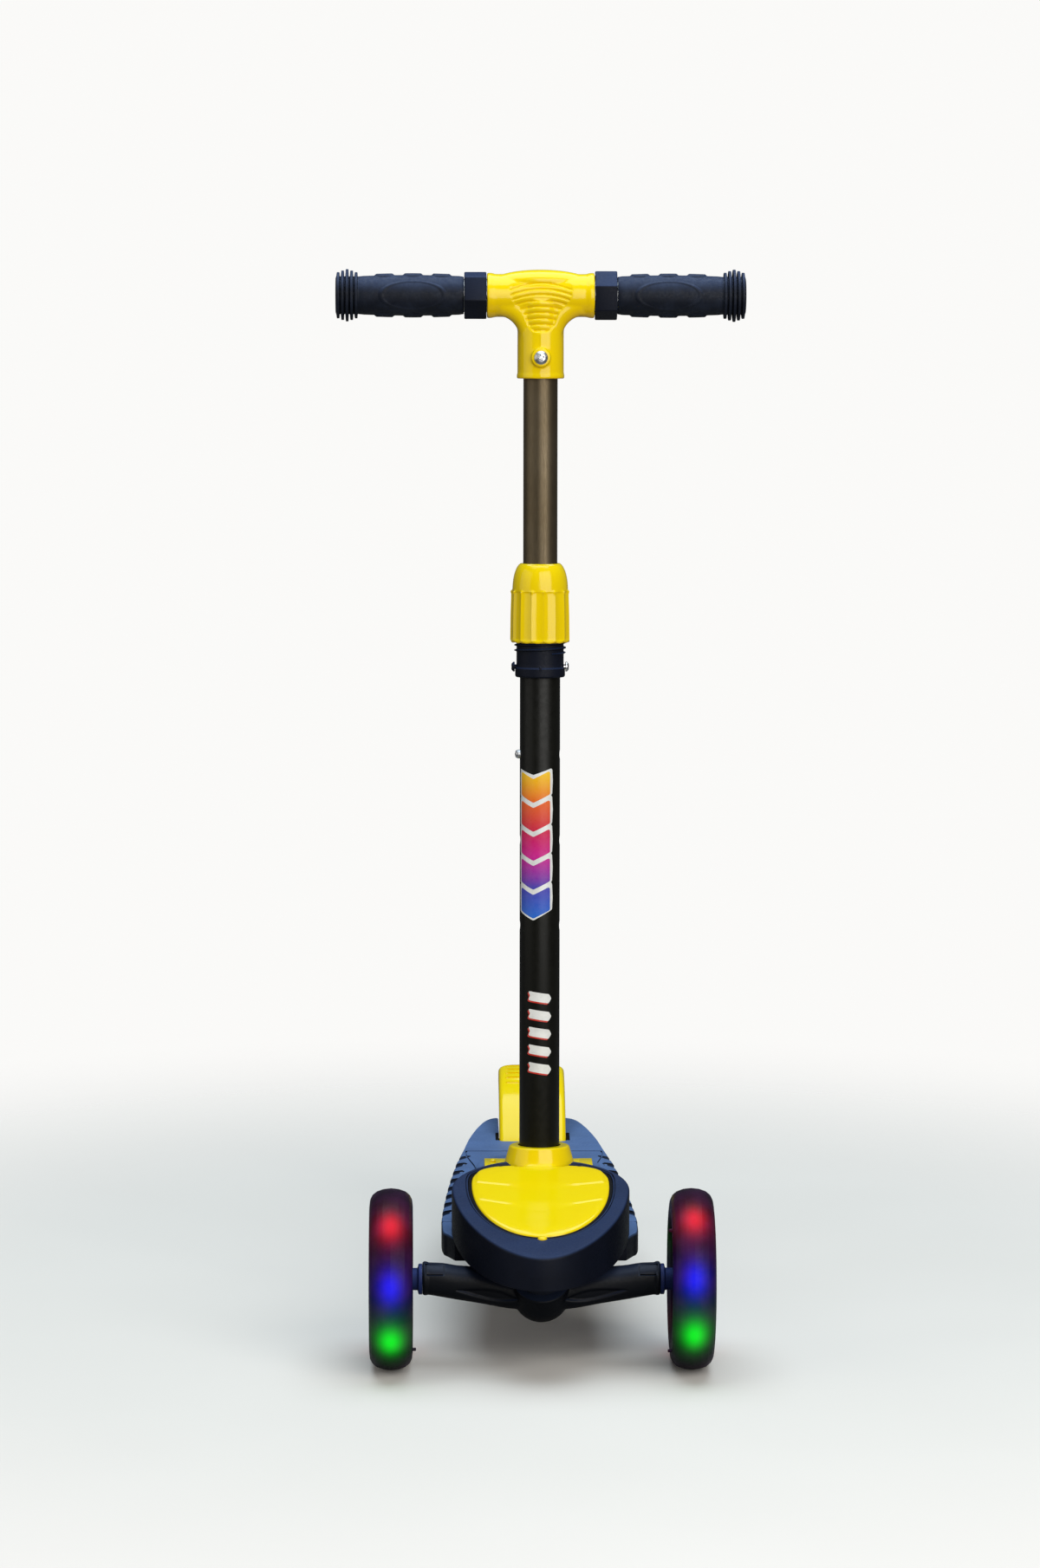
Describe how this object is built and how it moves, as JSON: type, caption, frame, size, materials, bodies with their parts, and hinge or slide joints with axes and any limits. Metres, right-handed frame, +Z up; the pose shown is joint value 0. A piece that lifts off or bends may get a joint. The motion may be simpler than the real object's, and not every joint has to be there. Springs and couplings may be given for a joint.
{
  "type": "three-wheel kick scooter",
  "caption": "Child's lean-to-steer kick scooter with a T-shaped handlebar on a height-adjustable column, a tapered deck, two front wheels and a rear wheel under a brake plate.",
  "frame": {"origin": "on the floor, midway between the front of the front wheels and the back of the rear wheel, in the plane of symmetry", "axes": "+Z up, the front of the scooter towards -Y, the rider's right towards -X"},
  "size_m": [0.2738, 0.483, 0.7193],
  "materials": {
    "yellow_plastic": "glossy moulded plastic",
    "navy_plastic": "fine-grained moulded plastic",
    "core_plastic": "moulded plastic",
    "grip_rubber": "soft satin rubber",
    "black_tube": "satin black paint on steel",
    "gunmetal_tube": "warm grey satin metal",
    "chrome": "polished",
    "zinc_steel": "zinc plated",
    "spring_steel": "bright spring wire",
    "smoky_tyre": "dark see-through polyurethane, glossy",
    "light_ring": "frosted light guide"
  },
  "bodies": {
    "deck": {"deck": "navy_plastic", "nose_bezel": "navy_plastic", "front_cover": "yellow_plastic", "column_socket": "zinc_steel", "lower_tube": "black_tube", "clamp_collar": "navy_plastic", "right_collar_screw": "navy_plastic", "left_collar_screw": "chrome", "pivot_bolt": "zinc_steel", "pivot_nut": "zinc_steel", "pivot_washer": "zinc_steel", "right_steering_spring": "spring_steel", "left_steering_spring": "spring_steel", "latch_spring": "spring_steel", "rear_axle_bolt": "zinc_steel", "rear_axle_nut": "zinc_steel", "rear_right_spacer": "core_plastic", "rear_left_spacer": "core_plastic", "brake_pin": "zinc_steel", "brake_spring": "spring_steel"},
    "steering_beam": {"front_truck": "navy_plastic", "pivot_bush": "core_plastic", "right_axle_bolt": "zinc_steel", "left_axle_bolt": "zinc_steel", "right_axle_spacer": "core_plastic", "left_axle_spacer": "core_plastic"},
    "right_wheel": {"right_front_tyre": "smoky_tyre", "right_front_wheel_core": "core_plastic", "right_light_ring": "light_ring", "right_outer_bearing": "zinc_steel", "right_inner_bearing": "zinc_steel"},
    "left_wheel": {"left_front_tyre": "smoky_tyre", "left_front_wheel_core": "core_plastic", "left_light_ring": "light_ring", "left_outer_bearing": "zinc_steel", "left_inner_bearing": "zinc_steel"},
    "rear_wheel": {"rear_tyre": "smoky_tyre", "rear_wheel_core": "core_plastic", "rear_right_bearing": "zinc_steel", "rear_left_bearing": "zinc_steel"},
    "brake": {"brake_fender": "yellow_plastic"},
    "latch": {"column_latch": "yellow_plastic"},
    "mast": {"upper_tube": "gunmetal_tube", "snap_spring": "spring_steel", "tee": "yellow_plastic", "tee_screw": "chrome", "handlebar_tube": "zinc_steel", "right_bar_collar": "navy_plastic", "left_bar_collar": "navy_plastic", "right_grip": "grip_rubber", "left_grip": "grip_rubber"},
    "snap_pin": {"snap_button": "zinc_steel"},
    "wedge": {"clamp_wedge": "navy_plastic"},
    "nut": {"clamp_nut": "yellow_plastic"}
  },
  "joints": [
    {"name": "lean_steer", "type": "hinge", "parent": "deck", "child": "steering_beam", "pos_m": [0, -0.1815, 0.05], "axis": [0, -0.5736, 0.8192], "range_deg": [-11, 11], "stiffness_Nm_per_rad": 25, "deforming": ["right_steering_spring", "left_steering_spring"]},
    {"name": "right_wheel_spin", "type": "hinge", "parent": "steering_beam", "child": "right_wheel", "pos_m": [-0.0995, -0.1815, 0.06], "axis": [1, 0, 0], "continuous": true},
    {"name": "left_wheel_spin", "type": "hinge", "parent": "steering_beam", "child": "left_wheel", "pos_m": [0.0995, -0.1815, 0.06], "axis": [1, 0, 0], "continuous": true},
    {"name": "rear_wheel_spin", "type": "hinge", "parent": "deck", "child": "rear_wheel", "pos_m": [0, 0.1965, 0.045], "axis": [1, 0, 0], "continuous": true},
    {"name": "brake_press", "type": "hinge", "parent": "deck", "child": "brake", "pos_m": [0, 0.1538, 0.0743], "axis": [-1, 0, 0], "range_deg": [0, 4.8], "stiffness_Nm_per_rad": 1.2, "springref_deg": -11.46, "deforming": ["brake_spring"]},
    {"name": "latch_pull", "type": "slide", "parent": "deck", "child": "latch", "axis": [0, 1, 0], "range_m": [0, 0.0045], "stiffness_N_per_m": 300, "springref_m": -0.004, "deforming": ["latch_spring"]},
    {"name": "height_slide", "type": "slide", "parent": "deck", "child": "mast", "axis": [0, 0.0698, 0.9976], "range_m": [-0.1156, 0], "deforming": ["snap_button"]},
    {"name": "snap_press", "type": "slide", "parent": "mast", "child": "snap_pin", "axis": [1, 0, 0], "range_m": [0, 0.0036], "stiffness_N_per_m": 600, "springref_m": -0.003, "deforming": ["snap_spring"]},
    {"name": "nut_rise", "type": "slide", "parent": "deck", "child": "wedge", "axis": [0, 0.0698, 0.9976], "range_m": [0, 0.0023]},
    {"name": "nut_turn", "type": "hinge", "parent": "wedge", "child": "nut", "pos_m": [0, -0.097, 0.11], "axis": [0, 0.0698, 0.9976], "range_deg": [0, 240]}
  ],
  "couplings": [
    {"joint": "nut_turn", "follows": "nut_rise", "rad_per_m": 1795.2}
  ]
}
